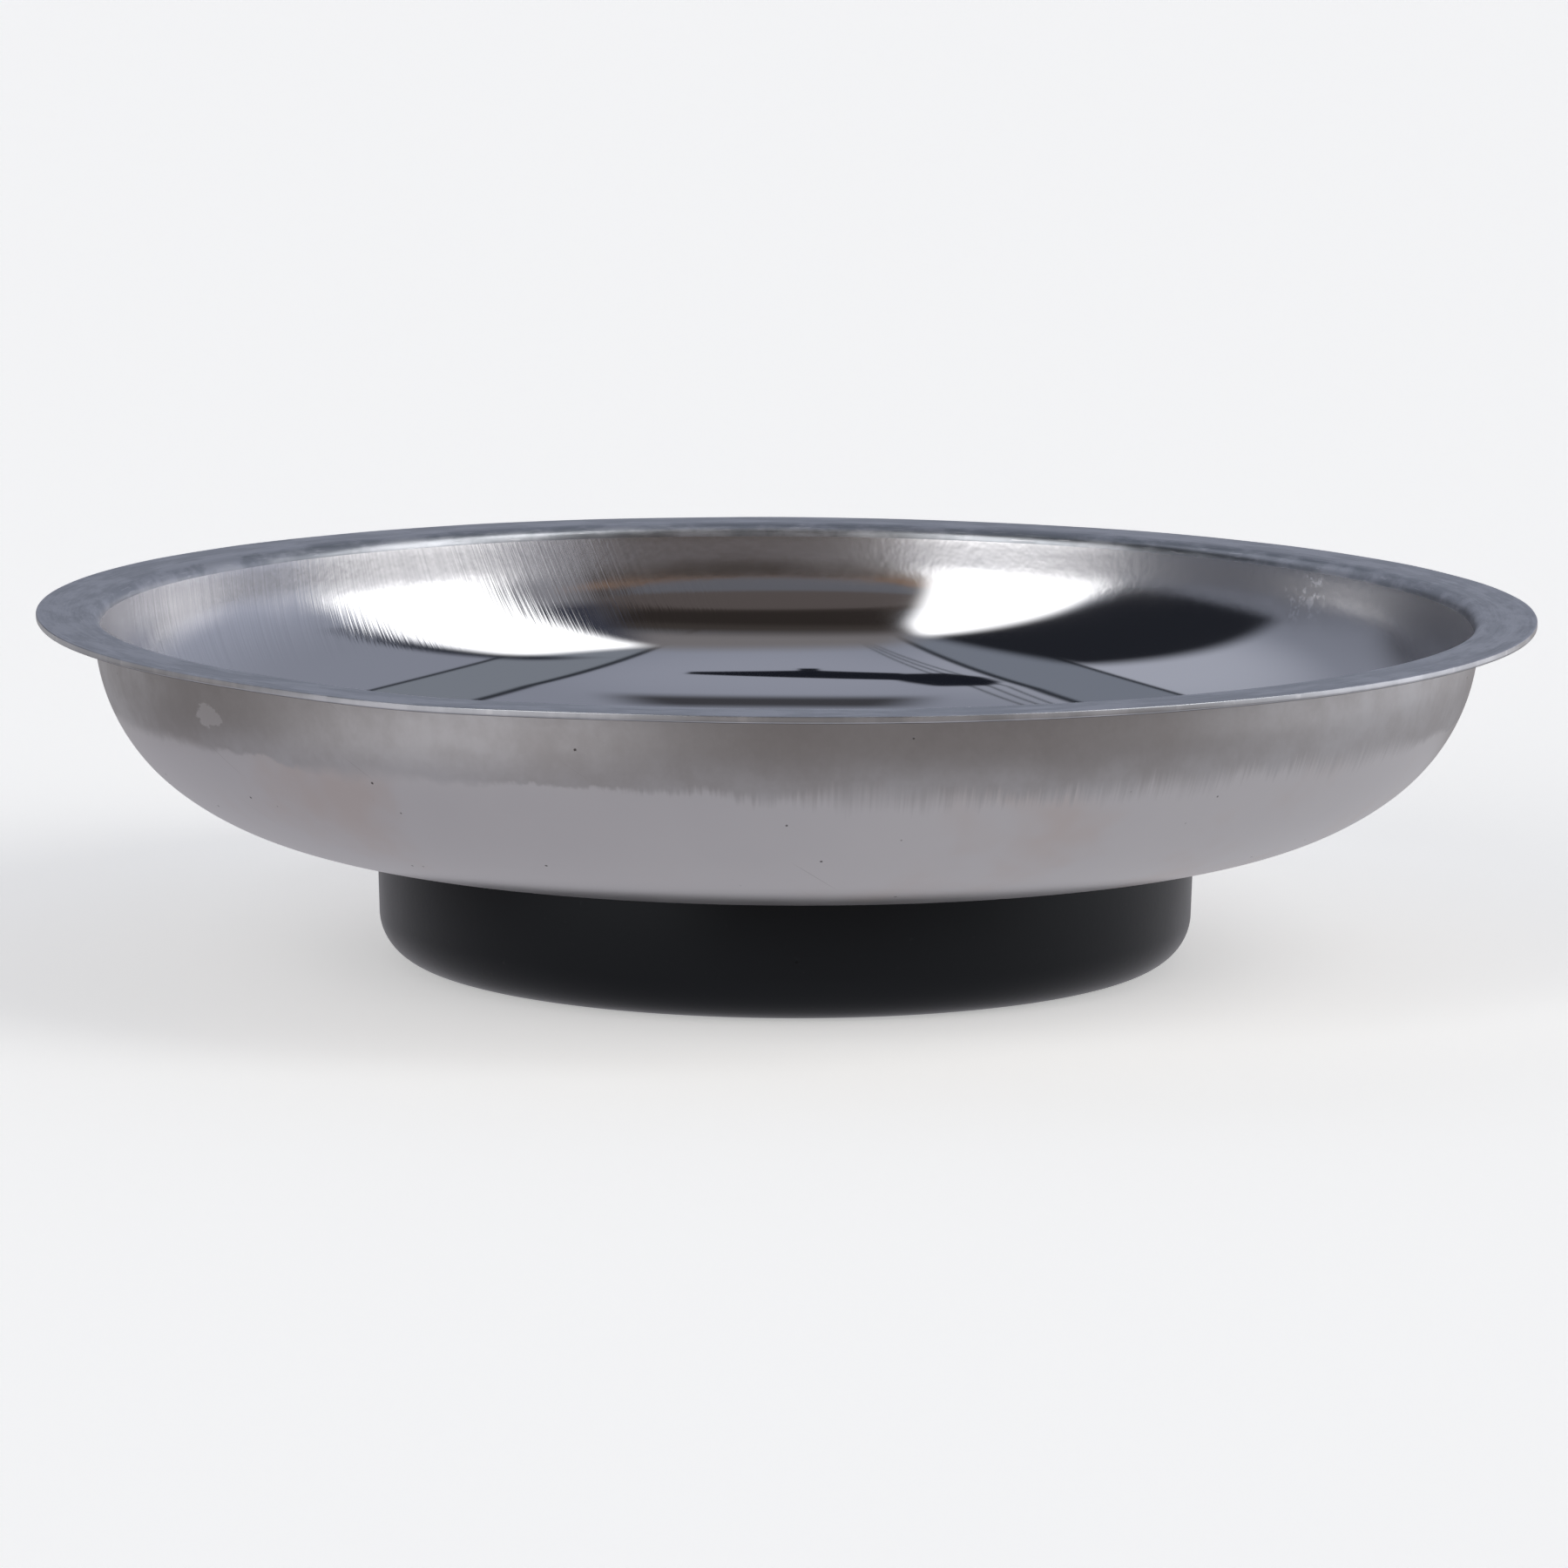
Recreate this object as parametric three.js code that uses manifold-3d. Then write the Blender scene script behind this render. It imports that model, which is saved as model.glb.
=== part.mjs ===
// Magnetic parts sorting tray.
// A deep-drawn stainless dish sits on a rubber-covered pot that holds a ferrite ring magnet. A stud
// welded under the dish runs down through the pot's centre well, and a nut in the well clamps the
// pot to the dish. Units are millimetres, +Z is up, and the origin is the centre of the resting face.

import * as THREE from "three";
import { mergeVertices } from "three/addons/utils/BufferGeometryUtils.js";
import Module from "manifold-3d";

const wasm = await Module();
wasm.setup();

// ---- Driving dimensions ----

// Dish: one drawn sheet with a flat floor, a bowl of two blended radii, a drafted wall and a flange.
const RIM_RADIUS = 75;
const RIM_HEIGHT = 35.1;
const DISH_SHEET = 0.7;
const DISH_WALL_RADIUS = 69.45; // outer wall face, carried up to the underside of the flange
const DISH_WALL_DRAFT = 6.8; // degrees from vertical
const DISH_LOWER_BEND = 26;
const DISH_LOWER_TURN = 38.5; // degrees turned by the lower bend
const DISH_UPPER_BEND = 19;
const FLANGE_BEND = 0.8; // radius under the flange

// Base: rubber boot over the magnet pot.
const BASE_HEIGHT = 13;
const BOOT_TOP_RADIUS = 41.08;
const BOOT_SIDE_RADIUS = 40.85; // just above the bottom fillet
const BOOT_FILLET = 4.7;
const BOOT_FLOOR = 1.2;
const BOOT_HOLE_RADIUS = 15.2;
const BOOT_HOLE_ROUNDING = 0.5;
const LIP_THICKNESS = 0.6; // the boot's lip and the seating pad are equally thick
const LIP_INNER_RADIUS = 38.6;

// Magnet pot: one pressed sheet with an annular channel round a centre well.
const POT_RADIUS = 39.2;
const POT_SHEET = 1.2;
const POT_CORNER = 3;
const WELL_RADIUS = 13;
const WELL_TOP_BEND = 0.8;
const WELL_MOUTH_BEND = 2;
const POT_BORE_RADIUS = 4.2;

// Ring magnet and its potting.
const MAGNET_RADIUS = 36;
const MAGNET_BORE_RADIUS = 16;
const MAGNET_THICKNESS = 10;
const MAGNET_CHAMFER = 0.8;
const POTTING_DEPTH = 8.6;
const FIT_GAP = 0.1;

// M6 fastening in the well.
const STUD_RADIUS = 2.95;
const STUD_FLANGE_RADIUS = 3.75;
const STUD_FLANGE_THICKNESS = 0.8;
const STUD_END_CHAMFER = 0.6;
const STUD_PROTRUSION = 1.1; // past the nut
const NUT_ACROSS_FLATS = 10;
const NUT_THICKNESS = 5;
const NUT_BORE_RADIUS = 3.1;
const NUT_CHAMFER = 0.55;
const NUT_TURN = 17; // degrees, where the nut happened to stop
const WASHER_RADIUS = 9;
const WASHER_BORE_RADIUS = 3.2;
const WASHER_THICKNESS = 1.6;
const SPRING_WASHER_RADIUS = 5.9;
const SPRING_WASHER_BORE_RADIUS = 3.3;
const SPRING_WASHER_THICKNESS = 1.6;
const SPRING_WASHER_SLIT = 0.7;
const SPRING_WASHER_SLANT = 28; // degrees the slit leans from the washer's axis
const SPRING_WASHER_TURN = -52; // degrees, where the slit sits

// Facets round the axis: large pieces share one count so that nested faces stay parallel.
const LARGE_FACETS = 64;
const SMALL_FACETS = 32;
const BOWL_STEP = 9; // degrees of bend per facet on the bowl
const CORNER_STEP = 30; // degrees of bend per facet on small visible corners
const POT_STEP = 45; // degrees of bend per facet on the pot, and on the boot's corner round it

// ---- Derived heights ----

const FLANGE_UNDERSIDE = RIM_HEIGHT - DISH_SHEET;
const POT_TOP = BASE_HEIGHT - LIP_THICKNESS;
const POT_FLOOR_TOP = BOOT_FLOOR + POT_SHEET;
const WELL_CEILING = POT_TOP - POT_SHEET;
const WASHER_BOTTOM = WELL_CEILING - WASHER_THICKNESS;
const SPRING_WASHER_BOTTOM = WASHER_BOTTOM - SPRING_WASHER_THICKNESS;
const NUT_BOTTOM = SPRING_WASHER_BOTTOM - NUT_THICKNESS;
const STUD_TIP = NUT_BOTTOM - STUD_PROTRUSION;

// ---- Outline helpers: every outline is a list of (radius, height) points ----

const radians = THREE.MathUtils.degToRad;

function point(radius, height) {
  return new THREE.Vector2(radius, height);
}

// Points on a round corner, from one polar angle to another about a centre, both ends included.
function corner(centre, radius, fromDegrees, toDegrees, step = CORNER_STEP) {
  const count = Math.max(1, Math.round(Math.abs(toDegrees - fromDegrees) / step));
  return Array.from({ length: count + 1 }, (_, i) => {
    const angle = radians(fromDegrees + ((toDegrees - fromDegrees) * i) / count);
    return point(centre.x + radius * Math.cos(angle), centre.y + radius * Math.sin(angle));
  });
}

// The path of a bent sheet. The path runs along one face, and the metal lies on its left.
class SheetPath {
  constructor(radius, height, headingDegrees) {
    this.position = point(radius, height);
    this.heading = headingDegrees;
    this.legs = [{ kind: "start", at: this.position.clone(), heading: headingDegrees }];
  }

  forward(length) {
    const angle = radians(this.heading);
    this.position.add(point(length * Math.cos(angle), length * Math.sin(angle)));
    this.legs.push({ kind: "line", at: this.position.clone(), heading: this.heading });
    return this;
  }

  // Positive turns go left, towards the metal. The radius is that of the path's own face.
  bend(radius, turnDegrees, step = CORNER_STEP) {
    const side = Math.sign(turnDegrees);
    const toCentre = radians(this.heading + 90 * side);
    const centre = this.position
      .clone()
      .add(point(radius * Math.cos(toCentre), radius * Math.sin(toCentre)));
    const fromDegrees = this.heading - 90 * side;
    const toDegrees = fromDegrees + turnDegrees;
    this.legs.push({ kind: "bend", centre, radius, side, fromDegrees, toDegrees, step });
    this.position = corner(centre, radius, fromDegrees, toDegrees).at(-1);
    this.heading += turnDegrees;
    return this;
  }

  // The face at a given depth into the metal.
  face(depth) {
    return this.legs.flatMap((leg) => {
      if (leg.kind === "bend") {
        const radius = leg.radius - leg.side * depth;
        return corner(leg.centre, radius, leg.fromDegrees, leg.toDegrees, leg.step).slice(1);
      }
      const toMetal = radians(leg.heading + 90);
      const shift = point(depth * Math.cos(toMetal), depth * Math.sin(toMetal));
      return [leg.at.clone().add(shift)];
    });
  }

  outline(thickness) {
    return [...this.face(0), ...this.face(thickness).reverse()];
  }
}

// ---- Solid helpers ----

// Revolves an outline about +Z. An outline that stays off the axis is closed on itself.
function revolve(outline, facets) {
  const touchesAxis = outline[0].x === 0 && outline.at(-1).x === 0;
  const points = touchesAxis ? outline : [...outline, outline[0].clone()];
  return new THREE.LatheGeometry(points, facets).rotateX(Math.PI / 2);
}

// A plain ring with square edges.
function ring(innerRadius, outerRadius, bottom, top, facets) {
  const outline = [
    point(innerRadius, bottom),
    point(outerRadius, bottom),
    point(outerRadius, top),
    point(innerRadius, top),
  ];
  return revolve(outline, facets);
}

// A ring whose four edges are chamfered.
function chamferedRing(innerRadius, outerRadius, bottom, top, chamfer, facets) {
  const outline = [
    point(innerRadius + chamfer, bottom),
    point(outerRadius - chamfer, bottom),
    point(outerRadius, bottom + chamfer),
    point(outerRadius, top - chamfer),
    point(outerRadius - chamfer, top),
    point(innerRadius + chamfer, top),
    point(innerRadius, top - chamfer),
    point(innerRadius, bottom + chamfer),
  ];
  return revolve(outline, facets);
}

function toSolid(geometry) {
  const bare = geometry.clone();
  bare.deleteAttribute("normal");
  bare.deleteAttribute("uv");
  const merged = mergeVertices(bare);
  const mesh = new wasm.Mesh({
    numProp: 3,
    vertProperties: Float32Array.from(merged.getAttribute("position").array),
    triVerts: Uint32Array.from(merged.getIndex().array),
  });
  return new wasm.Manifold(mesh);
}

function fromSolid(solid) {
  const { vertProperties, triVerts } = solid.getMesh();
  const geometry = new THREE.BufferGeometry();
  geometry.setAttribute("position", new THREE.BufferAttribute(vertProperties, 3));
  geometry.setIndex(new THREE.BufferAttribute(triVerts, 1));
  geometry.computeVertexNormals();
  return geometry;
}

// ---- Pieces ----

function dish() {
  const wallAngle = 90 - DISH_WALL_DRAFT;
  const lower = radians(DISH_LOWER_TURN);
  const wall = radians(wallAngle);
  const bendsRise =
    DISH_LOWER_BEND * (1 - Math.cos(lower)) + DISH_UPPER_BEND * (Math.cos(lower) - Math.cos(wall));
  const bendsReach =
    DISH_LOWER_BEND * Math.sin(lower) + DISH_UPPER_BEND * (Math.sin(wall) - Math.sin(lower));
  const wallLength = (FLANGE_UNDERSIDE - BASE_HEIGHT - bendsRise) / Math.sin(wall);
  const flatRadius = DISH_WALL_RADIUS - bendsReach - wallLength * Math.cos(wall);
  const flangeTangent = FLANGE_BEND * Math.tan(wall / 2);
  const path = new SheetPath(0, BASE_HEIGHT, 0)
    .forward(flatRadius)
    .bend(DISH_LOWER_BEND, DISH_LOWER_TURN, BOWL_STEP)
    .bend(DISH_UPPER_BEND, wallAngle - DISH_LOWER_TURN, BOWL_STEP)
    .forward(wallLength - flangeTangent)
    .bend(FLANGE_BEND, -wallAngle)
    .forward(RIM_RADIUS - DISH_WALL_RADIUS - flangeTangent);
  return revolve(path.outline(DISH_SHEET), LARGE_FACETS);
}

function magnetPot() {
  const path = new SheetPath(POT_BORE_RADIUS, WELL_CEILING, 0)
    .forward(WELL_RADIUS - WELL_TOP_BEND - POT_BORE_RADIUS)
    .bend(WELL_TOP_BEND, -90, POT_STEP)
    .forward(WELL_CEILING - WELL_TOP_BEND - BOOT_FLOOR - WELL_MOUTH_BEND)
    .bend(WELL_MOUTH_BEND, 90, POT_STEP)
    .forward(POT_RADIUS - POT_CORNER - WELL_RADIUS - WELL_MOUTH_BEND)
    .bend(POT_CORNER, 90, POT_STEP)
    .forward(POT_TOP - BOOT_FLOOR - POT_CORNER);
  return revolve(path.outline(POT_SHEET), LARGE_FACETS);
}

function rubberBoot() {
  const filletCentre = point(BOOT_SIDE_RADIUS - BOOT_FILLET, BOOT_FILLET);
  const innerCorner = POT_CORNER + FIT_GAP;
  const innerCentre = point(POT_RADIUS - POT_CORNER, BOOT_FLOOR + innerCorner);
  const holeCentre = point(BOOT_HOLE_RADIUS + BOOT_HOLE_ROUNDING, BOOT_HOLE_ROUNDING);
  const outline = [
    ...corner(holeCentre, BOOT_HOLE_ROUNDING, 180, 270),
    ...corner(filletCentre, BOOT_FILLET, -90, 0),
    point(BOOT_TOP_RADIUS, BASE_HEIGHT),
    point(LIP_INNER_RADIUS, BASE_HEIGHT),
    point(LIP_INNER_RADIUS, POT_TOP),
    point(POT_RADIUS + FIT_GAP, POT_TOP),
    ...corner(innerCentre, innerCorner, 0, -90, POT_STEP),
    point(BOOT_HOLE_RADIUS, BOOT_FLOOR),
  ];
  return revolve(outline, LARGE_FACETS);
}

function ringMagnet() {
  const top = POT_FLOOR_TOP + MAGNET_THICKNESS;
  return chamferedRing(
    MAGNET_BORE_RADIUS,
    MAGNET_RADIUS,
    POT_FLOOR_TOP,
    top,
    MAGNET_CHAMFER,
    LARGE_FACETS,
  );
}

// Epoxy cast between the magnet and the pot's outer wall, standing clear of the pot's inner corner.
function pottingRing() {
  const bottom = POT_FLOOR_TOP + POT_CORNER - POT_SHEET;
  const inner = MAGNET_RADIUS + FIT_GAP;
  const outer = POT_RADIUS - POT_SHEET - FIT_GAP;
  return ring(inner, outer, bottom, POT_FLOOR_TOP + POTTING_DEPTH, LARGE_FACETS);
}

function seatingPad() {
  return ring(POT_BORE_RADIUS, LIP_INNER_RADIUS - FIT_GAP, POT_TOP, BASE_HEIGHT, LARGE_FACETS);
}

function weldStud() {
  const outline = [
    point(0, STUD_TIP),
    point(STUD_RADIUS - STUD_END_CHAMFER, STUD_TIP),
    point(STUD_RADIUS, STUD_TIP + STUD_END_CHAMFER),
    point(STUD_RADIUS, BASE_HEIGHT - STUD_FLANGE_THICKNESS),
    point(STUD_FLANGE_RADIUS, BASE_HEIGHT - STUD_FLANGE_THICKNESS),
    point(STUD_FLANGE_RADIUS, BASE_HEIGHT),
    point(0, BASE_HEIGHT),
  ];
  return revolve(outline, SMALL_FACETS);
}

function flatWasher() {
  return ring(WASHER_BORE_RADIUS, WASHER_RADIUS, WASHER_BOTTOM, WELL_CEILING, SMALL_FACETS);
}

// A square-section ring split by one slanted slit, drawn in its clamped, flat state.
function springWasher() {
  const blank = ring(
    SPRING_WASHER_BORE_RADIUS,
    SPRING_WASHER_RADIUS,
    SPRING_WASHER_BOTTOM,
    WASHER_BOTTOM,
    SMALL_FACETS,
  );
  const slit = new THREE.BoxGeometry(
    SPRING_WASHER_RADIUS,
    SPRING_WASHER_SLIT,
    SPRING_WASHER_THICKNESS * 3,
  );
  slit.rotateX(radians(SPRING_WASHER_SLANT));
  slit.translate(SPRING_WASHER_RADIUS, 0, (SPRING_WASHER_BOTTOM + WASHER_BOTTOM) / 2);
  slit.rotateZ(radians(SPRING_WASHER_TURN));
  return fromSolid(toSolid(blank).subtract(toSolid(slit)));
}

// A hexagonal prism with a round bore, its corners turned to a chamfer at both ends.
function hexNut() {
  const cornerRadius = NUT_ACROSS_FLATS / 2 / Math.cos(Math.PI / 6);
  const hexagon = new THREE.Shape(
    Array.from({ length: 6 }, (_, i) => {
      const angle = (i * Math.PI) / 3 + radians(NUT_TURN);
      return point(cornerRadius * Math.cos(angle), cornerRadius * Math.sin(angle));
    }),
  );
  hexagon.holes.push(new THREE.Path().absarc(0, 0, NUT_BORE_RADIUS, 0, 2 * Math.PI, true));
  const prism = new THREE.ExtrudeGeometry(hexagon, {
    depth: NUT_THICKNESS,
    bevelEnabled: false,
    curveSegments: SMALL_FACETS,
  });
  prism.translate(0, 0, NUT_BOTTOM);
  const turned = chamferedRing(
    NUT_BORE_RADIUS / 2,
    cornerRadius,
    NUT_BOTTOM,
    SPRING_WASHER_BOTTOM,
    NUT_CHAMFER,
    SMALL_FACETS * 2,
  );
  return fromSolid(toSolid(prism).intersect(toSolid(turned)));
}

// ---- Materials and assembly ----

const FINISHES = {
  stainless: { color: 0xb4b3b8, roughness: 0.32, metalness: 1 },
  rubber: { color: 0x1b1b1c, roughness: 0.55, metalness: 0 },
  zincPlate: { color: 0xb9bcc2, roughness: 0.4, metalness: 1 },
  ferrite: { color: 0x35353a, roughness: 0.7, metalness: 0.2 },
  epoxy: { color: 0x2a2723, roughness: 0.35, metalness: 0 },
  foam: { color: 0x3b3d40, roughness: 0.95, metalness: 0 },
};

const PIECES = [
  ["dish", dish, "stainless"],
  ["weld_stud", weldStud, "stainless"],
  ["seating_pad", seatingPad, "foam"],
  ["magnet_pot", magnetPot, "zincPlate"],
  ["ring_magnet", ringMagnet, "ferrite"],
  ["potting_ring", pottingRing, "epoxy"],
  ["rubber_boot", rubberBoot, "rubber"],
  ["flat_washer", flatWasher, "zincPlate"],
  ["spring_washer", springWasher, "zincPlate"],
  ["hex_nut", hexNut, "zincPlate"],
];

const tray = new THREE.Group();
for (const [name, shape, finish] of PIECES) {
  const mesh = new THREE.Mesh(shape(), new THREE.MeshStandardMaterial(FINISHES[finish]));
  mesh.name = name;
  tray.add(mesh);
}

export default tray;
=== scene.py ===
"""Looks of the magnetic parts sorting tray: fine meshes, procedural materials, studio and camera.

Outlines are in millimetres as (radius, height) and are scaled to metres when a mesh is made.
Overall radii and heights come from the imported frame; small radii repeat the CAD model's.
"""

import math

import bmesh
import bpy
from mathutils import Matrix, Vector, noise


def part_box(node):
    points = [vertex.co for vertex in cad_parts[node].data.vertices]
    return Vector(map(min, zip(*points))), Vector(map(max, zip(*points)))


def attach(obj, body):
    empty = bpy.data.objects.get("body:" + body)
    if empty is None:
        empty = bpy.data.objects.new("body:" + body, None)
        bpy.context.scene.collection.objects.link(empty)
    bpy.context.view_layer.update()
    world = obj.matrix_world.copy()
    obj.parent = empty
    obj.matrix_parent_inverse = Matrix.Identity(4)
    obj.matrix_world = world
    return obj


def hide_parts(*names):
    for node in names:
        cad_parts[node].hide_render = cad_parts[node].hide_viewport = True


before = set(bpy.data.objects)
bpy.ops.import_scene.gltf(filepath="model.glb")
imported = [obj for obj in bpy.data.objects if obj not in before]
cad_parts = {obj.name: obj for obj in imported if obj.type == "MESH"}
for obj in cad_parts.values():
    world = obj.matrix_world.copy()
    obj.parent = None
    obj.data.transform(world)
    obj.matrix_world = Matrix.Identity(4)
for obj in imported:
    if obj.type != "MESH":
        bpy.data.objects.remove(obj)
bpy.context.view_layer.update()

MM = 0.001


def node_size(name):
    """A node's outer radius, lowest and highest point, in millimetres."""
    low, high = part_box(name)
    return high[0] / MM, low[2] / MM, high[2] / MM


# ---- Sizes, in millimetres ----

RIM_RADIUS, BASE_HEIGHT, RIM_HEIGHT = node_size("dish")
BOOT_RADIUS, _, _ = node_size("rubber_boot")
POT_RADIUS, BOOT_FLOOR, POT_TOP = node_size("magnet_pot")
MAGNET_RADIUS, MAGNET_BOTTOM, MAGNET_TOP = node_size("ring_magnet")
POTTING_RADIUS, POTTING_BOTTOM, POTTING_TOP = node_size("potting_ring")
PAD_RADIUS, PAD_BOTTOM, PAD_TOP = node_size("seating_pad")
WASHER_RADIUS, WASHER_BOTTOM, WASHER_TOP = node_size("flat_washer")
SPLIT_RADIUS, SPLIT_BOTTOM, SPLIT_TOP = node_size("spring_washer")
STUD_FLANGE_RADIUS, STUD_TIP, STUD_TOP = node_size("weld_stud")
_, NUT_BOTTOM, NUT_TOP = node_size("hex_nut")

DISH_SHEET = 0.7
DISH_WALL_RADIUS = 69.45
DISH_WALL_ANGLE = 83.2
DISH_LOWER_BEND = 26
DISH_LOWER_TURN = 38.5
DISH_UPPER_BEND = 19
FLANGE_BEND = 0.8
RIM_TOP_ROUNDING = 0.12
RIM_UNDER_ROUNDING = 0.22
RIM_DENT_DEPTH = 0.30
RIM_DENT_AZIMUTH = 208
RIM_DENT_WIDTH = 11
BROAD_RIPPLE_SCALE = 0.022
BROAD_RIPPLE_PLACE = Vector((3.1, 7.7, 0.4))
BROAD_RIPPLE_LIFT = 0.08
FINE_RIPPLE_SCALE = 0.09
FINE_RIPPLE_PLACE = Vector((9.2, 1.3, 5.5))
FINE_RIPPLE_LIFT = 0.03
OUT_OF_ROUND = 0.05

BOOT_SIDE_RADIUS = 40.85
BOOT_FILLET = 4.7
BOOT_HOLE_RADIUS = 15.2
BOOT_HOLE_ROUNDING = 0.5
BOOT_TOP_ROUNDING = 0.35
BOOT_LIP_RADIUS = 38.6
BOOT_GAP = 0.1
GRIP_GROOVES = (18.5, 33.5)
GRIP_GROOVE_WIDTH = 1.4
GRIP_GROOVE_DEPTH = 0.35

POT_SHEET = 1.2
POT_CORNER = 3
POT_BORE_RADIUS = 4.2
POT_EDGE_ROUNDING = 0.25
WELL_RADIUS = 13
WELL_TOP_BEND = 0.8
WELL_MOUTH_BEND = 2

MAGNET_BORE_RADIUS = 16
MAGNET_CHAMFER = 0.8
MAGNET_CHAMFER_SOFTENING = 0.15
POTTING_MENISCUS = 0.7
PAD_ROUNDING = 0.2

STUD_RADIUS = 2.95
STUD_TIP_RADIUS = 0.6
STUD_POINT_CHAMFER = 0.75
STUD_FLANGE_THICKNESS = 0.8
STUD_FLANGE_CHAMFER = 0.1
THREAD_PITCH = 1.0
THREAD_DEPTH = 0.6
THREAD_RUNOUT = 1.2
THREAD_CREST_FLAT = 0.12
THREAD_FLANK = 0.70
NUT_ACROSS_FLATS = 10
NUT_TURN = 17
NUT_FACE_RATIO = 0.97
NUT_CHAMFER_SLOPE = 0.55
NUT_BORE_RADIUS = 3.1
NUT_COUNTERSINK = 0.45
NUT_GROOVE_RATIO = 0.35
NUT_CREST_RATIO = 0.1
WASHER_BORE_RADIUS = 3.2
WASHER_ROUNDING = 0.22
SPLIT_BORE_RADIUS = 3.3
SPLIT_ROUNDING = 0.18
SPLIT_GAP_DEGREES = 9
SPLIT_SLANT = 28
SPLIT_TURN = -52

# How finely meshes are cut: segments round the axis, rings along an outline, degrees of a corner.
LARGE_SEGMENTS = 480
MIDDLE_SEGMENTS = 288
SMALL_SEGMENTS = 96
FIRST_RING_RADIUS = 4
FLOOR_STEPS = 6
WALL_STEPS = 3
FLANGE_STEPS = 3
FLANGE_BEND_STEPS = 12
GROOVE_STEPS = 8
MENISCUS_STEPS = 10
ROWS_PER_PITCH = 12
BOWL_STEP = 1.5
LARGE_STEP = 5
POT_STEP = 7.5
FINE_STEP = 9
SMALL_STEP = 15
CORNER_SHARE = 0.45
SHARP_ANGLE = math.radians(50)


# ---- Outlines ----


def arc(centre, radius, start, end, step=SMALL_STEP):
    """Points round a corner, angles in degrees from the +radius direction, both ends included."""
    count = max(2, round(abs(end - start) / step))
    angles = [math.radians(start + (end - start) * i / count) for i in range(count + 1)]
    return [
        (centre[0] + radius * math.cos(a), centre[1] + radius * math.sin(a)) for a in angles
    ]


class SheetPath:
    """The path of a bent sheet along one face, with the metal on its left."""

    def __init__(self, radius, height, heading):
        self.at = Vector((radius, height))
        self.heading = heading
        self.legs = [("point", self.at.copy(), heading)]

    def forward(self, length):
        angle = math.radians(self.heading)
        self.at = self.at + length * Vector((math.cos(angle), math.sin(angle)))
        self.legs.append(("point", self.at.copy(), self.heading))
        return self

    def bend(self, radius, turn, step=SMALL_STEP):
        """Positive turns go left, towards the metal; the radius is that of the path's face."""
        side = math.copysign(1, turn)
        to_centre = math.radians(self.heading + 90 * side)
        centre = self.at + radius * Vector((math.cos(to_centre), math.sin(to_centre)))
        start = self.heading - 90 * side
        self.legs.append(("bend", centre, radius, side, start, start + turn, step))
        self.at = Vector(arc(centre, radius, start, start + turn)[-1])
        self.heading += turn
        return self

    def face(self, depth):
        """The face at a depth into the metal."""
        points = []
        for leg in self.legs:
            if leg[0] == "bend":
                _, centre, radius, side, start, end, step = leg
                points += arc(centre, radius - side * depth, start, end, step)[1:]
            else:
                _, at, heading = leg
                to_metal = math.radians(heading + 90)
                points.append(
                    (at[0] + depth * math.cos(to_metal), at[1] + depth * math.sin(to_metal))
                )
        return points


def rounded(points, radius, step=SMALL_STEP):
    """A closed outline with every corner turned on a small radius."""
    outline = []
    for i, here in enumerate(points):
        here = Vector(here)
        before = Vector(points[i - 1]) - here
        after = Vector(points[(i + 1) % len(points)]) - here
        half = before.angle(after) / 2
        longest = CORNER_SHARE * min(before.length, after.length)
        reach = min(radius / math.tan(half), longest)
        centre = here + (before.normalized() + after.normalized()).normalized() * (
            reach / math.cos(half)
        )
        first = here + before.normalized() * reach - centre
        last = here + after.normalized() * reach - centre
        turn = first.angle_signed(last)
        count = max(2, round(math.degrees(abs(turn)) / step))
        for k in range(count + 1):
            offset = first.copy()
            offset.rotate(Matrix.Rotation(-turn * k / count, 2))
            outline.append(tuple(centre + offset))
    return outline


# ---- Meshes ----


def mesh_piece(name, vertices, faces, zones=None):
    """A smooth-shaded mesh object in metres; zones gives each face's material index."""
    mesh = bpy.data.meshes.new(name)
    mesh.from_pydata([Vector(v) * MM for v in vertices], [], faces)
    work = bmesh.new()
    work.from_mesh(mesh)
    bmesh.ops.recalc_face_normals(work, faces=work.faces)
    work.faces.ensure_lookup_table()
    for index, face in enumerate(work.faces):
        face.smooth = True
        face.material_index = zones[index] if zones else 0
    for edge in work.edges:
        edge.smooth = edge.calc_face_angle(0) < SHARP_ANGLE
    work.to_mesh(mesh)
    work.free()
    piece = bpy.data.objects.new(name, mesh)
    bpy.context.collection.objects.link(piece)
    return piece


def skin(name, rings, capped, zone_of=None):
    """Joins rings of equal point counts. Capped ends close to a centre point; otherwise the last
    ring joins the first. zone_of gives the material index of the band after ring i."""
    count = len(rings[0])
    vertices = [v for ring in rings for v in ring]
    bands = len(rings) - 1 if capped else len(rings)
    faces = []
    zones = []
    for i in range(bands):
        a, b = i * count, (i + 1) % len(rings) * count
        for k in range(count):
            n = (k + 1) % count
            faces.append((a + k, a + n, b + n, b + k))
            zones.append(zone_of(i) if zone_of else 0)
    if capped:
        for ring, band in ((0, 0), (len(rings) - 1, bands - 1)):
            centre = sum((Vector(v) for v in rings[ring]), Vector()) / count
            vertices.append(tuple(centre))
            hub = len(vertices) - 1
            for k in range(count):
                faces.append((ring * count + k, ring * count + (k + 1) % count, hub))
                zones.append(zone_of(band) if zone_of else 0)
    return mesh_piece(name, vertices, faces, zones)


def circle(radius, height, segments):
    turns = [2 * math.pi * k / segments for k in range(segments)]
    return [(radius * math.cos(t), radius * math.sin(t), height) for t in turns]


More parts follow.
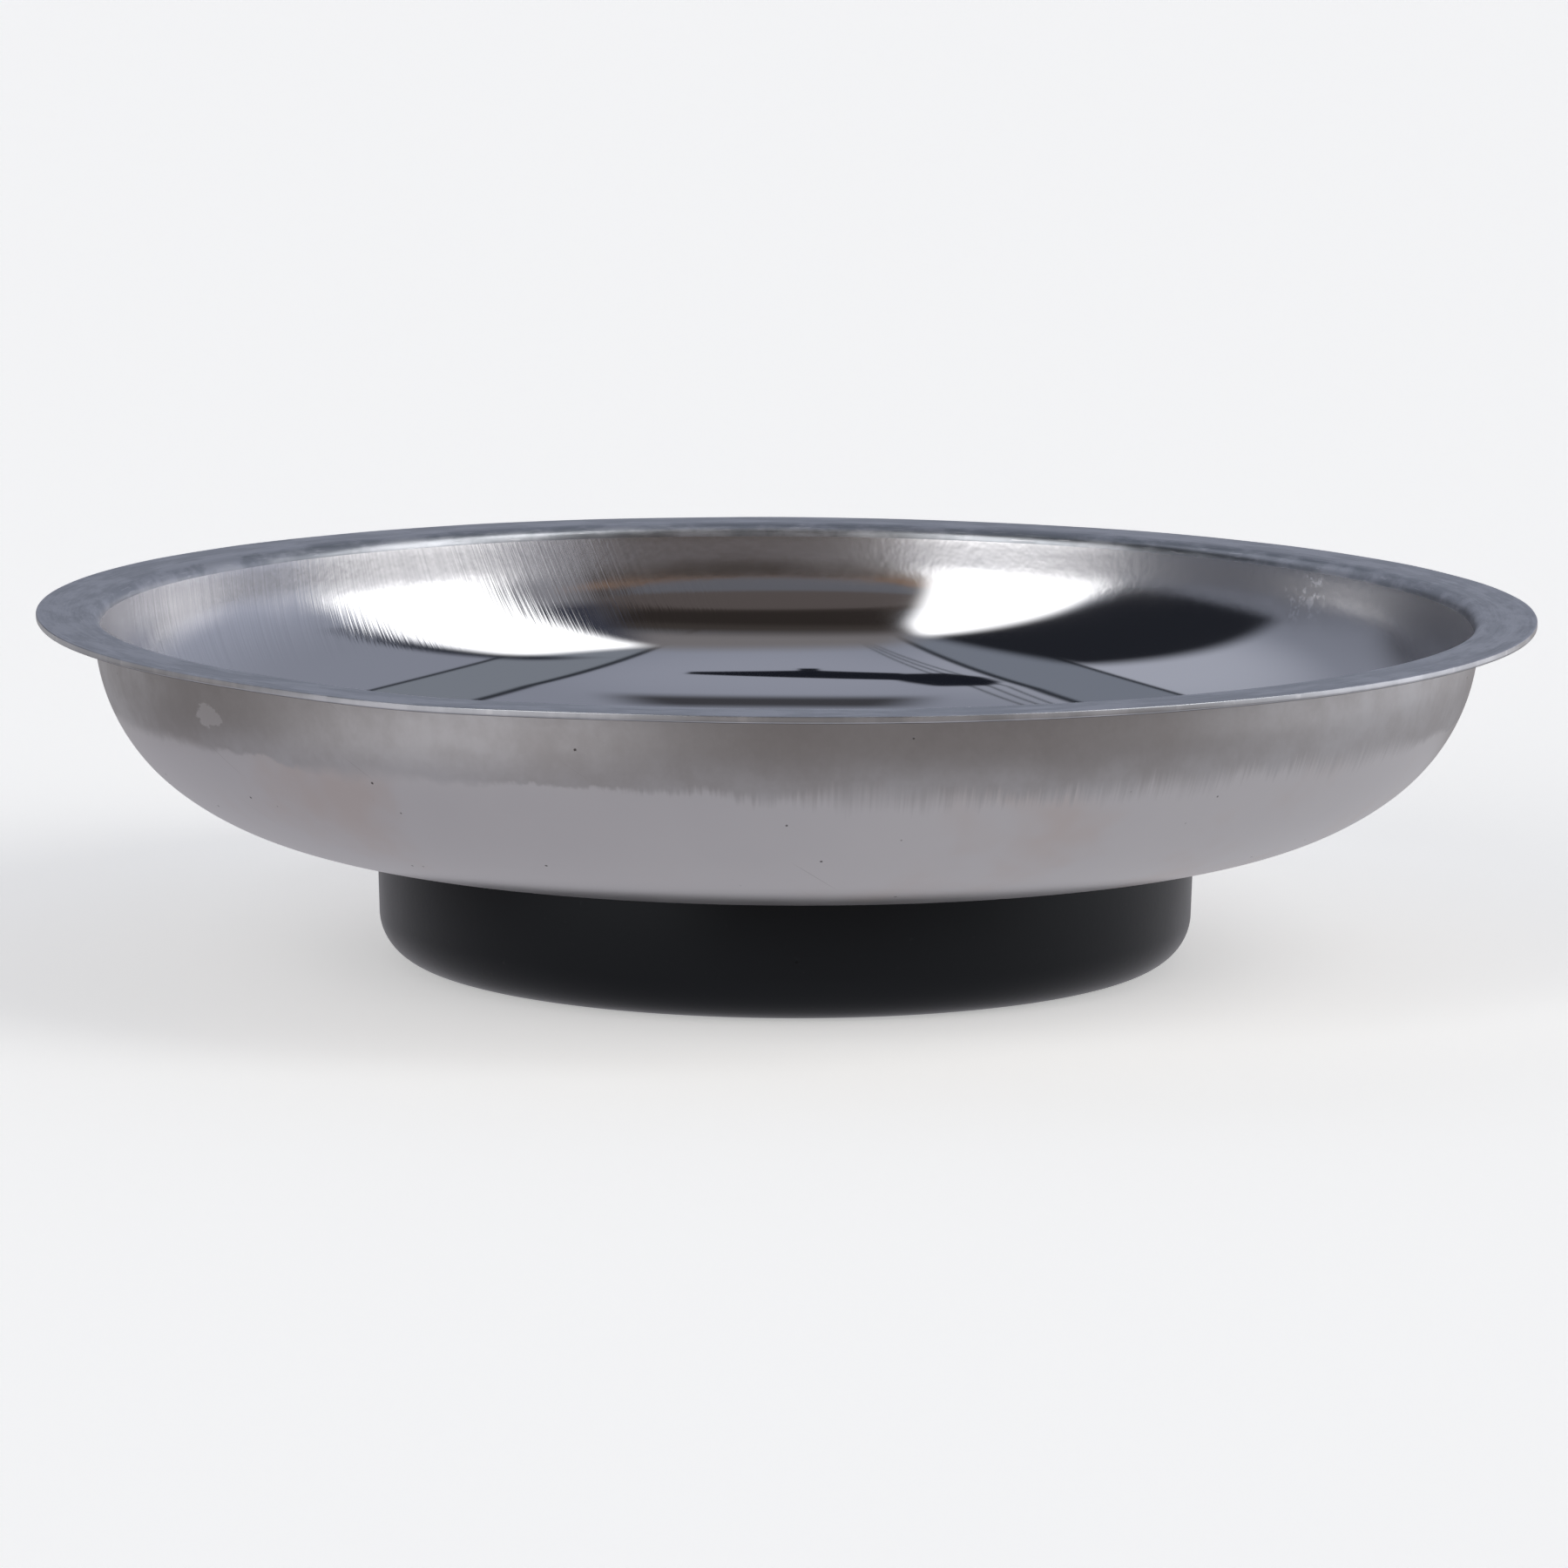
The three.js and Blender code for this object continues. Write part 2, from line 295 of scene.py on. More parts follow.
def revolve(name, outline, segments, capped=False, zone_of=None, shift=None):
    """Spins an outline about the axis. shift moves each point, for the unevenness of real parts."""
    rings = [circle(r, z, segments) for r, z in outline]
    if shift:
        rings = [[shift(Vector(v)) for v in ring] for ring in rings]
    return skin(name, rings, capped, zone_of)


INSIDE, RIM, OUTSIDE = range(3)


def dish_unevenness(point):
    """A drawn sheet's slight springback: the flange ripples and dips where it was knocked, and the
    wall is a touch out of round."""
    lift = max(0, (point.z - BASE_HEIGHT) / (RIM_HEIGHT - BASE_HEIGHT)) ** 2
    radial = Vector((point.x, point.y, 0))
    broad = noise.noise(radial * BROAD_RIPPLE_SCALE + BROAD_RIPPLE_PLACE)
    fine = noise.noise(radial * FINE_RIPPLE_SCALE + FINE_RIPPLE_PLACE)
    azimuth = math.degrees(math.atan2(point.x, point.y)) % 360
    dent = math.exp(-(((azimuth - RIM_DENT_AZIMUTH) / RIM_DENT_WIDTH) ** 2))
    rise = BROAD_RIPPLE_LIFT * broad + FINE_RIPPLE_LIFT * fine - RIM_DENT_DEPTH * dent
    return point + Vector((0, 0, lift * rise)) + radial.normalized() * lift * OUT_OF_ROUND * fine


def build_dish():
    wall = math.radians(DISH_WALL_ANGLE)
    lower = math.radians(DISH_LOWER_TURN)
    flange_underside = RIM_HEIGHT - DISH_SHEET
    rise = DISH_LOWER_BEND * (1 - math.cos(lower))
    rise += DISH_UPPER_BEND * (math.cos(lower) - math.cos(wall))
    reach = DISH_LOWER_BEND * math.sin(lower)
    reach += DISH_UPPER_BEND * (math.sin(wall) - math.sin(lower))
    wall_length = (flange_underside - BASE_HEIGHT - rise) / math.sin(wall)
    flat_radius = DISH_WALL_RADIUS - reach - wall_length * math.cos(wall)
    tangent = FLANGE_BEND * math.tan(wall / 2)
    path = SheetPath(FIRST_RING_RADIUS, BASE_HEIGHT, 0)
    for _ in range(FLOOR_STEPS):
        path.forward((flat_radius - FIRST_RING_RADIUS) / FLOOR_STEPS)
    path.bend(DISH_LOWER_BEND, DISH_LOWER_TURN, BOWL_STEP)
    path.bend(DISH_UPPER_BEND, DISH_WALL_ANGLE - DISH_LOWER_TURN, BOWL_STEP)
    for _ in range(WALL_STEPS):
        path.forward((wall_length - tangent) / WALL_STEPS)
    path.bend(FLANGE_BEND, -DISH_WALL_ANGLE, DISH_WALL_ANGLE / FLANGE_BEND_STEPS)
    flange = RIM_RADIUS - DISH_WALL_RADIUS - tangent - RIM_TOP_ROUNDING
    for _ in range(FLANGE_STEPS):
        path.forward(flange / FLANGE_STEPS)
    under, upper = path.face(0), path.face(DISH_SHEET)
    low = (RIM_RADIUS - RIM_UNDER_ROUNDING, flange_underside + RIM_UNDER_ROUNDING)
    high = (RIM_RADIUS - RIM_TOP_ROUNDING, RIM_HEIGHT - RIM_TOP_ROUNDING)
    lip = arc(low, RIM_UNDER_ROUNDING, -90, 0) + arc(high, RIM_TOP_ROUNDING, 0, 90, FINE_STEP)
    outline = under + lip[:-1] + upper[::-1]
    lip_start, lip_end = len(under) - 1, len(under) + len(lip) - 1

    def zone(band):
        if band < lip_start:
            return OUTSIDE
        return RIM if band < lip_end + FLANGE_STEPS + FLANGE_BEND_STEPS else INSIDE

    return revolve("dish_shell", outline, LARGE_SEGMENTS, True, zone, dish_unevenness)


def build_pot():
    ceiling = POT_TOP - POT_SHEET
    path = SheetPath(POT_BORE_RADIUS, ceiling, 0)
    path.forward(WELL_RADIUS - WELL_TOP_BEND - POT_BORE_RADIUS)
    path.bend(WELL_TOP_BEND, -90, FINE_STEP)
    path.forward(ceiling - WELL_TOP_BEND - BOOT_FLOOR - WELL_MOUTH_BEND)
    path.bend(WELL_MOUTH_BEND, 90, POT_STEP)
    path.forward(POT_RADIUS - POT_CORNER - WELL_RADIUS - WELL_MOUTH_BEND)
    path.bend(POT_CORNER, 90, POT_STEP)
    path.forward(POT_TOP - BOOT_FLOOR - POT_CORNER - POT_EDGE_ROUNDING)
    under, upper = path.face(0), path.face(POT_SHEET)
    edge_height = POT_TOP - POT_EDGE_ROUNDING
    outer_edge = arc((POT_RADIUS - POT_EDGE_ROUNDING, edge_height), POT_EDGE_ROUNDING, 0, 90)
    inner_radius = POT_RADIUS - POT_SHEET + POT_EDGE_ROUNDING
    inner_edge = arc((inner_radius, edge_height), POT_EDGE_ROUNDING, 90, 180)
    outline = under + outer_edge[1:] + inner_edge[:-1] + upper[::-1]
    return revolve("pot_pressing", outline, MIDDLE_SEGMENTS)


def grip_groove(radius):
    """A shallow round-bottomed groove moulded into the resting face."""
    half = GRIP_GROOVE_WIDTH / 2
    turns = [math.pi * (1 - i / GROOVE_STEPS) for i in range(GROOVE_STEPS + 1)]
    return [(radius + half * math.cos(t), GRIP_GROOVE_DEPTH * math.sin(t)) for t in turns]


def build_boot():
    hole = (BOOT_HOLE_RADIUS + BOOT_HOLE_ROUNDING, BOOT_HOLE_ROUNDING)
    fillet = (BOOT_SIDE_RADIUS - BOOT_FILLET, BOOT_FILLET)
    top = (BOOT_RADIUS - BOOT_TOP_ROUNDING, BASE_HEIGHT - BOOT_TOP_ROUNDING)
    inner_corner = POT_CORNER + BOOT_GAP
    inner = (POT_RADIUS - POT_CORNER, BOOT_FLOOR + inner_corner)
    outline = arc(hole, BOOT_HOLE_ROUNDING, 180, 270)
    for radius in GRIP_GROOVES:
        outline += grip_groove(radius)
    outline += arc(fillet, BOOT_FILLET, -90, 0, LARGE_STEP)
    outline += arc(top, BOOT_TOP_ROUNDING, 0, 90)
    outline += [(BOOT_LIP_RADIUS, BASE_HEIGHT), (BOOT_LIP_RADIUS, POT_TOP)]
    outline += [(POT_RADIUS + BOOT_GAP, POT_TOP)]
    outline += arc(inner, inner_corner, 0, -90)
    outline += [(BOOT_HOLE_RADIUS, BOOT_FLOOR)]
    return revolve("boot_moulding", outline, LARGE_SEGMENTS)


def box_outline(inner, outer, bottom, top):
    return [(inner, bottom), (outer, bottom), (outer, top), (inner, top)]


def build_magnet():
    c = MAGNET_CHAMFER
    inner, outer = MAGNET_BORE_RADIUS, MAGNET_RADIUS
    outline = [
        (inner + c, MAGNET_BOTTOM),
        (outer - c, MAGNET_BOTTOM),
        (outer, MAGNET_BOTTOM + c),
        (outer, MAGNET_TOP - c),
        (outer - c, MAGNET_TOP),
        (inner + c, MAGNET_TOP),
        (inner, MAGNET_TOP - c),
        (inner, MAGNET_BOTTOM + c),
    ]
    return revolve("magnet_ring", rounded(outline, MAGNET_CHAMFER_SOFTENING), MIDDLE_SEGMENTS)


def build_potting():
    """Epoxy that wets both walls, so its top sags between them."""
    inner = MAGNET_RADIUS + BOOT_GAP
    outline = [(inner, POTTING_BOTTOM), (POTTING_RADIUS, POTTING_BOTTOM)]
    for i in range(MENISCUS_STEPS + 1):
        across = i / MENISCUS_STEPS
        radius = POTTING_RADIUS + (inner - POTTING_RADIUS) * across
        outline.append((radius, POTTING_TOP - POTTING_MENISCUS * math.sin(math.pi * across)))
    return revolve("potting_bead", outline, MIDDLE_SEGMENTS)


def build_pad():
    section = box_outline(POT_BORE_RADIUS, PAD_RADIUS, PAD_BOTTOM, PAD_TOP)
    return revolve("pad_foam", rounded(section, PAD_ROUNDING), MIDDLE_SEGMENTS)


def build_washer():
    """Punched from strip and tumbled, so its edges are rounded."""
    section = box_outline(WASHER_BORE_RADIUS, WASHER_RADIUS, WASHER_BOTTOM, WASHER_TOP)
    return revolve("washer_flat", rounded(section, WASHER_ROUNDING), SMALL_SEGMENTS)


def build_split_washer():
    """A square wire coiled once and cut on a slant, so every section leans the same way."""
    section = box_outline(SPLIT_BORE_RADIUS, SPLIT_RADIUS, SPLIT_BOTTOM, SPLIT_TOP)
    section = rounded(section, SPLIT_ROUNDING)
    middle = (SPLIT_BOTTOM + SPLIT_TOP) / 2
    mean_radius = (SPLIT_BORE_RADIUS + SPLIT_RADIUS) / 2
    lean = math.tan(math.radians(SPLIT_SLANT)) / mean_radius
    sweep = 360 - SPLIT_GAP_DEGREES
    rings = []
    for i in range(SMALL_SEGMENTS + 1):
        base = math.radians(SPLIT_TURN + SPLIT_GAP_DEGREES / 2 + sweep * i / SMALL_SEGMENTS)
        ring = []
        for radius, height in section:
            turn = base + lean * (height - middle)
            ring.append((radius * math.cos(turn), radius * math.sin(turn), height))
        rings.append(ring)
    return skin("washer_split", rings, True)


def thread_radius(crest, depth, turn, height):
    """The radius of a 60 degree thread, flattened at crest and root, at a turn and a height."""
    phase = (height / THREAD_PITCH - turn / (2 * math.pi)) % 1
    ramp = abs(2 * phase - 1)
    return crest - depth * min(1, max(0, (ramp - THREAD_CREST_FLAT) / THREAD_FLANK))


def thread_rings(bottom, top, radius_at):
    """Rings fine enough for a thread, with the radius given by a function of turn and height."""
    rows = round((top - bottom) / THREAD_PITCH * ROWS_PER_PITCH)
    rings = []
    for i in range(rows + 1):
        height = bottom + (top - bottom) * i / rows
        ring = []
        for k in range(SMALL_SEGMENTS):
            turn = 2 * math.pi * k / SMALL_SEGMENTS
            radius = radius_at(turn, height)
            ring.append((radius * math.cos(turn), radius * math.sin(turn), height))
        rings.append(ring)
    return rings


def build_stud():
    """Threaded up to its flange, where the thread runs out, and pointed at the tip."""
    flange_bottom = STUD_TOP - STUD_FLANGE_THICKNESS

    def radius_at(turn, height):
        into_flange = (height - (flange_bottom - THREAD_RUNOUT)) / THREAD_RUNOUT
        depth = THREAD_DEPTH * (1 - min(1, max(0, into_flange)))
        cone = STUD_RADIUS - STUD_POINT_CHAMFER + (height - STUD_TIP)
        return min(cone, thread_radius(STUD_RADIUS, depth, turn, height))

    chamfer = STUD_FLANGE_CHAMFER
    rings = [circle(STUD_TIP_RADIUS, STUD_TIP, SMALL_SEGMENTS)]
    rings += thread_rings(STUD_TIP, flange_bottom, radius_at)
    rings += [
        circle(STUD_FLANGE_RADIUS - chamfer, flange_bottom, SMALL_SEGMENTS),
        circle(STUD_FLANGE_RADIUS, flange_bottom + chamfer, SMALL_SEGMENTS),
        circle(STUD_FLANGE_RADIUS, STUD_TOP, SMALL_SEGMENTS),
    ]
    return skin("stud_threaded", rings, True)


def build_nut():
    """Hexagon with corners turned to cones at both ends, and a thread with countersunk mouths."""
    apothem = NUT_ACROSS_FLATS / 2
    face_radius = apothem * NUT_FACE_RATIO
    crest = NUT_BORE_RADIUS + THREAD_DEPTH * NUT_CREST_RATIO

    def outer_radius(turn, height):
        local = (turn - math.radians(NUT_TURN)) % (math.pi / 3) - math.pi / 6
        hexagon = apothem / math.cos(local)
        from_end = min(height - NUT_BOTTOM, NUT_TOP - height)
        return min(hexagon, face_radius + from_end / NUT_CHAMFER_SLOPE)

    def bore_radius(turn, height):
        from_end = min(height - NUT_BOTTOM, NUT_TOP - height)
        groove = thread_radius(crest, THREAD_DEPTH * NUT_GROOVE_RATIO, turn, height)
        return max(groove, NUT_BORE_RADIUS + NUT_COUNTERSINK - from_end)

    outer = thread_rings(NUT_BOTTOM, NUT_TOP, outer_radius)
    inner = thread_rings(NUT_BOTTOM, NUT_TOP, bore_radius)
    return skin("nut_threaded", outer + inner[::-1], False)


# ---- Node helpers ----


class Nodes:
    """Short names for the shader nodes that the materials and the studio use."""

    def __init__(self, tree):
        self.tree = tree
        tree.nodes.clear()

    def add(self, kind, inputs=None, **settings):
        made = self.tree.nodes.new(kind)
        for name, value in settings.items():
            setattr(made, name, value)
        for key, value in (inputs or {}).items():
            if isinstance(value, bpy.types.NodeSocket):
                self.tree.links.new(value, made.inputs[key])
            else:
                made.inputs[key].default_value = value
        return made

    def maths(self, operation, a, b=0.0):
        return self.add("ShaderNodeMath", {0: a, 1: b}, operation=operation).outputs[0]

    def times(self, a, b):
        return self.maths("MULTIPLY", a, b)

    def plus(self, a, b):
        return self.maths("ADD", a, b)

    def minus(self, a, b):
        return self.maths("SUBTRACT", a, b)

    def step(self, value, low, high, start=0.0, end=1.0):
        """A smooth rise from start to end as value goes from low to high."""
        inputs = {"Value": value, "From Min": low, "From Max": high, "To Min": start, "To Max": end}
        made = self.add("ShaderNodeMapRange", inputs, interpolation_type="SMOOTHSTEP")
        return made.outputs[0]

    def noise(self, vector, scale, detail=3.0, roughness=0.5):
        inputs = {"Vector": vector, "Scale": scale, "Detail": detail, "Roughness": roughness}
        return self.add("ShaderNodeTexNoise", inputs).outputs["Fac"]

    def cells(self, vector, scale):
        """Distance to the nearest of scattered points."""
        inputs = {"Vector": vector, "Scale": scale}
        return self.add("ShaderNodeTexVoronoi", inputs).outputs["Distance"]

    def vector(self, x, y, z):
        return self.add("ShaderNodeCombineXYZ", {"X": x, "Y": y, "Z": z}).outputs[0]

    def blend(self, factor, a, b):
        """Mixes two colours."""
        made = self.add("ShaderNodeMix", data_type="RGBA")
        sockets = [s for s in made.inputs if s.enabled]
        for socket, value in zip(sockets, (factor, a, b)):
            if isinstance(value, bpy.types.NodeSocket):
                self.tree.links.new(value, socket)
            elif isinstance(value, tuple):
                socket.default_value = (*value, 1.0)
            else:
                socket.default_value = value
        return [s for s in made.outputs if s.enabled][0]

    def mix(self, factor, a, b):
        """Mixes two values."""
        return self.plus(a, self.times(factor, self.minus(b, a)))

    def spread(self, fraction, width):
        """Turns a noise about one half into an offset about zero."""
        return self.times(self.minus(fraction, 0.5), width)

    def patch(self, vector, point, reach):
        """One round a point, out to a ragged edge at about its reach, and zero beyond it."""
        away = self.add("ShaderNodeVectorMath", {0: vector, 1: point}, operation="DISTANCE")
        ragged = self.spread(self.noise(vector, 1.6 / reach, 4, 0.65), 1.8 * reach)
        edge = self.plus(away.outputs["Value"], ragged)
        return self.step(edge, 0.75 * reach, reach, 1.0, 0.0)

    def specks(self, vector, scale, rarity):
        """One in small dots, of which only those in some patches are kept."""
        dots = self.step(self.cells(vector, scale), 0.035, 0.080, 1.0, 0.0)
        kept = self.step(self.noise(vector, 150, 0), rarity, rarity + 0.03)
        return self.times(dots, kept)

    def bump(self, height, distance, normal=None):
        """A normal for a relief, whose unit of height is the distance, in metres."""
        inputs = {"Height": height, "Distance": distance, "Strength": 1.0}
        if normal:
            inputs["Normal"] = normal
        return self.add("ShaderNodeBump", inputs).outputs[0]


SMALLEST_RADIUS = 1e-5


class Round:
    """Coordinates on a body of revolution, in metres: place, height and direction from the axis.
    A turn, in radians, shifts everything round the axis."""

    def __init__(self, nodes, turn=None):
        place = nodes.add("ShaderNodeTexCoord").outputs["Object"]
        if turn:
            turned = {"Vector": place, "Angle": turn}
            place = nodes.add("ShaderNodeVectorRotate", turned, rotation_type="Z_AXIS").outputs[0]
        self.place = place
        self.x, self.y, self.height = nodes.add("ShaderNodeSeparateXYZ", {0: place}).outputs
        squares = nodes.plus(nodes.maths("POWER", self.x, 2), nodes.maths("POWER", self.y, 2))
        self.radius = nodes.maths("MAXIMUM", nodes.maths("SQRT", squares), SMALLEST_RADIUS)
        self.east = nodes.maths("DIVIDE", self.x, self.radius)
        self.north = nodes.maths("DIVIDE", self.y, self.radius)
        self.nodes = nodes

    def streaks(self, across, along):
        """A vector for marks that run up the wall: across counts them round a radian of turn,
        along is how many to a metre of height."""
        n = self.nodes
        return n.vector(
            n.times(self.east, across),
            n.times(self.north, across),
            n.times(self.height, along),
        )

    def rings(self, across, along):
        """A vector for marks that run round the axis: across is how many to a metre of radius."""
        n = self.nodes
        return n.vector(
            n.times(self.east, along),
            n.times(self.north, along),
            n.times(self.radius, across),
        )

    def side(self, azimuth, outer, inner):
        """One on the side that faces an azimuth, fading to zero between two angles from it. The
        azimuth runs clockwise from +Y seen from above; all angles are in degrees."""
        n = self.nodes
        a = math.radians(azimuth)
        east = n.times(self.east, math.sin(a))
        facing = n.plus(east, n.times(self.north, math.cos(a)))
        return n.step(facing, math.cos(math.radians(outer)), math.cos(math.radians(inner)))


def material(name):
    made = bpy.data.materials.new(name)
    made.use_nodes = True
    return made, Nodes(made.node_tree)


def surface(nodes, **inputs):
    """Ends a material with one Principled shader; underscores in the names stand for spaces."""
    sockets = {key.replace("_", " "): value for key, value in inputs.items()}
    for key, value in sockets.items():
        if isinstance(value, tuple) and len(value) == 3:
            sockets[key] = (*value, 1.0)
    shader = nodes.add("ShaderNodeBsdfPrincipled", sockets)
    nodes.add("ShaderNodeOutputMaterial", {"Surface": shader.outputs[0]})


# ---- Materials ----

MICRON = 1e-6

# Where the marks are on the dish: heights, radii and places in metres, sides in degrees clockwise
# from +Y seen from above, twists in radians to a metre of height.
TIDE_HEIGHT = 0.0264
TOOTHED_SIDE = 153
SCRATCH_TWIST = 22
BAND_RADIUS = 0.0693
PATCH_FLATNESS = 1.6
BAND_PATCH = (-0.0556, -0.0414, 0.0299 * PATCH_FLATNESS)
BAND_PATCH_REACH = 0.0022
HAZE_START = 0.0276
DIM_HAZE_START = 0.0266
HAZE_END = 0.0323
HAZE_PATCH = (0.0546, 0.0412, 0.0308)
HAZE_PATCH_REACH = 0.0032
PAINTED_SHADE_SIDE = 54
DRAW_MARKS_SIDE = 312
DRAW_MARKS_TWIST = -5.5
TWISTED_SIDE = 350
TWIST_START = 0.030
LIP_START, LIP_END = 0.0746, 0.0749

# Reflectances of the dish's steel, with painted shade on one side of the haze and a painted
# highlight on the lip.
BOWL_GREY, BOWL_PALE = (0.575, 0.565, 0.575), (0.655, 0.64, 0.64)
BROWN_STAIN = (0.56, 0.45, 0.39)
SCUFF_DARK, SCUFF_PALE = (0.435, 0.42, 0.42), (0.535, 0.53, 0.54)
SCUFF_GRAIN = (0.40, 0.39, 0.39)
BARE_SPOT = (0.68, 0.675, 0.69)
SCRATCH_DARK = (0.26, 0.24, 0.24)
PIT_BLACK = (0.05, 0.045, 0.04)
MIRROR_STEEL = (0.61, 0.61, 0.625)
HAZE_PALE, HAZE_PAINTED_SHADE = (0.75, 0.74, 0.75), (0.45, 0.445, 0.455)
DRAW_MARK_DARK = (0.38, 0.38, 0.40)
HAZE_PATCH_PALE = (0.86, 0.86, 0.88)
FLANGE_DARK, FLANGE_PALE = (0.36, 0.375, 0.40), (0.54, 0.55, 0.58)
FLANGE_SCRATCH = (0.68, 0.68, 0.70)
# The lip's lighter colour is burnish wear and a painted highlight.
LIP_BURNISH_AND_HIGHLIGHT = (0.66, 0.665, 0.69)

# Roughness of the dish's finishes. The mirror grows rougher up the wall, then rougher in the haze.
BOWL_ROUGHNESS = (0.28, 0.32)
SCUFF_ROUGHNESS = (0.43, 0.36)
FLANGE_ROUGHNESS = (0.285, 0.42)
MIRROR_ROUGHNESS = 0.045
SATIN_ROUGHNESS = 0.035
HAZE_ROUGHNESS = 0.185
MARKED_HAZE_ROUGHNESS = 0.17


def tide_band(n, at):
    """One above a wandering tide line, which is crisp in places and soft or toothed in others."""
    wander = n.noise(at.streaks(2.5, 10), 1.0, 2)
    lobes = n.noise(at.place, 190, 4, 0.65)
    teeth = n.noise(at.streaks(150, 70), 1.0, 3, 0.6)
    toothed = at.side(TOOTHED_SIDE, 45, 15)
    softness = n.step(n.noise(at.streaks(2.2, 0), 1.0, 1), 0.40, 0.62, 0.0002, 0.0011)
    softness = n.plus(softness, n.times(toothed, 0.0008))
    level = n.plus(at.height, n.spread(wander, 0.0030))
    level = n.plus(level, n.spread(lobes, 0.0028))
    level = n.plus(level, n.times(toothed, n.spread(teeth, 0.0040)))
    below, above = n.minus(TIDE_HEIGHT, softness), n.plus(TIDE_HEIGHT, softness)
    return n.step(level, below, above)


def stainless_outside():
    """Drawn wall: a dull, smudged band that the die scuffed, above a ragged tide line, over a
    smoother satin bowl with faint stains, hairline scratches and pits."""
    made, n = material("stainless_outside")
    at = Round(n)
    band = tide_band(n, at)
    grain = n.noise(at.place, 1000, 2, 0.6)
    smudge = n.noise(at.place, 95, 5, 0.68)
    smear = n.noise(at.streaks(26, 35), 1.0, 4, 0.65)
    cloud = n.noise(at.place, 42, 4, 0.6)
    stain = n.step(n.noise(at.place, 33, 4, 0.62), 0.53, 0.72)
    slanted = Round(n, n.times(at.height, SCRATCH_TWIST))
    dashes = n.step(n.cells(slanted.streaks(95, 45), 1.0), 0.04, 0.10, 1.0, 0.0)
    scratches = n.times(dashes, n.step(n.noise(at.place, 60, 1), 0.56, 0.62))
    pits = n.specks(at.place, 420, 0.60)
    patch = n.patch(at.streaks(BAND_RADIUS, PATCH_FLATNESS), BAND_PATCH, BAND_PATCH_REACH)
    bowl = n.blend(cloud, BOWL_GREY, BOWL_PALE)
    bowl = n.blend(n.times(stain, 0.40), bowl, BROWN_STAIN)
    smudged = n.step(n.mix(0.10, smudge, smear), 0.32, 0.68)
    scuffed = n.blend(smudged, SCUFF_DARK, SCUFF_PALE)
    scuffed = n.blend(n.times(grain, 0.30), scuffed, SCUFF_GRAIN)
    scuffed = n.blend(n.times(patch, 0.8), scuffed, BARE_SPOT)
    colour = n.blend(band, bowl, scuffed)
    colour = n.blend(n.times(scratches, 0.40), colour, SCRATCH_DARK)
    colour = n.blend(n.times(pits, 0.85), colour, PIT_BLACK)
    smooth = n.step(cloud, 0.3, 0.7, *BOWL_ROUGHNESS)
    dull = n.step(smudged, 0.0, 1.0, *SCUFF_ROUGHNESS)
    rough = n.mix(band, smooth, dull)
    relief = n.times(n.spread(grain, 1.0), band)
    relief = n.minus(relief, n.times(pits, 3.0))
    normal = n.bump(relief, 8 * MICRON)
    surface(n, Base_Color=colour, Metallic=1.0, Roughness=rough, Normal=normal)
    return made


def stainless_inside():
    """Inside face: mirror bright on the floor and bowl, hazed up the wall, with draw marks that
    spiral up one side. The haze is painted darker on one side as shade, where it also starts lower."""
    made, n = material("stainless_inside")
    at = Round(n)
    wander = n.noise(at.streaks(3, 10), 1.0, 2)
    blotch = n.noise(at.place, 130, 3, 0.6)
    peel = n.noise(at.place, 1200, 1)
    level = n.plus(at.height, n.spread(wander, 0.0032))
    level = n.plus(level, n.spread(blotch, 0.0036))
    # Painted shade: the haze colour darkens on the side that faces this azimuth.
    painted_shade_side = at.side(PAINTED_SHADE_SIDE, 37, 18)
    haze = n.step(level, n.mix(painted_shade_side, HAZE_START, DIM_HAZE_START), HAZE_END)
    twist = n.times(at.side(TWISTED_SIDE, 40, 10), DRAW_MARKS_TWIST)
    turn = n.times(twist, n.minus(at.height, TWIST_START))
    marks = n.noise(Round(n, turn).streaks(230, 10), 1.0, 3, 0.6)
    marked = at.side(DRAW_MARKS_SIDE, 48, 24)
    marked = n.times(marked, n.step(at.height, 0.0225, 0.0268))
    marked = n.times(marked, n.step(at.height, 0.0335, 0.0348, 1.0, 0.0))
    patch = n.patch(at.place, HAZE_PATCH, HAZE_PATCH_REACH)
    patch = n.times(patch, n.step(n.noise(at.place, 850, 3, 0.6), 0.50, 0.60))
    patch = n.times(patch, haze)
    satin = n.step(at.height, 0.0195, 0.0290)
    hazed_rough = n.mix(marked, HAZE_ROUGHNESS, MARKED_HAZE_ROUGHNESS)
    rough = n.plus(MIRROR_ROUGHNESS, n.times(satin, SATIN_ROUGHNESS))
    rough = n.plus(rough, n.times(haze, hazed_rough))
    scored = n.times(marked, n.step(marks, 0.40, 0.62))
    colour = n.blend(haze, MIRROR_STEEL, n.blend(painted_shade_side, HAZE_PALE, HAZE_PAINTED_SHADE))
    colour = n.blend(n.times(scored, 0.20), colour, DRAW_MARK_DARK)
    colour = n.blend(n.times(patch, 0.50), colour, HAZE_PATCH_PALE)
    normal = n.bump(n.times(n.spread(marks, 1.0), marked), 18 * MICRON)
    normal = n.bump(n.times(n.spread(peel, 1.0), haze), 16 * MICRON, normal)
    surface(n, Base_Color=colour, Metallic=1.0, Roughness=rough, Normal=normal)
    return made


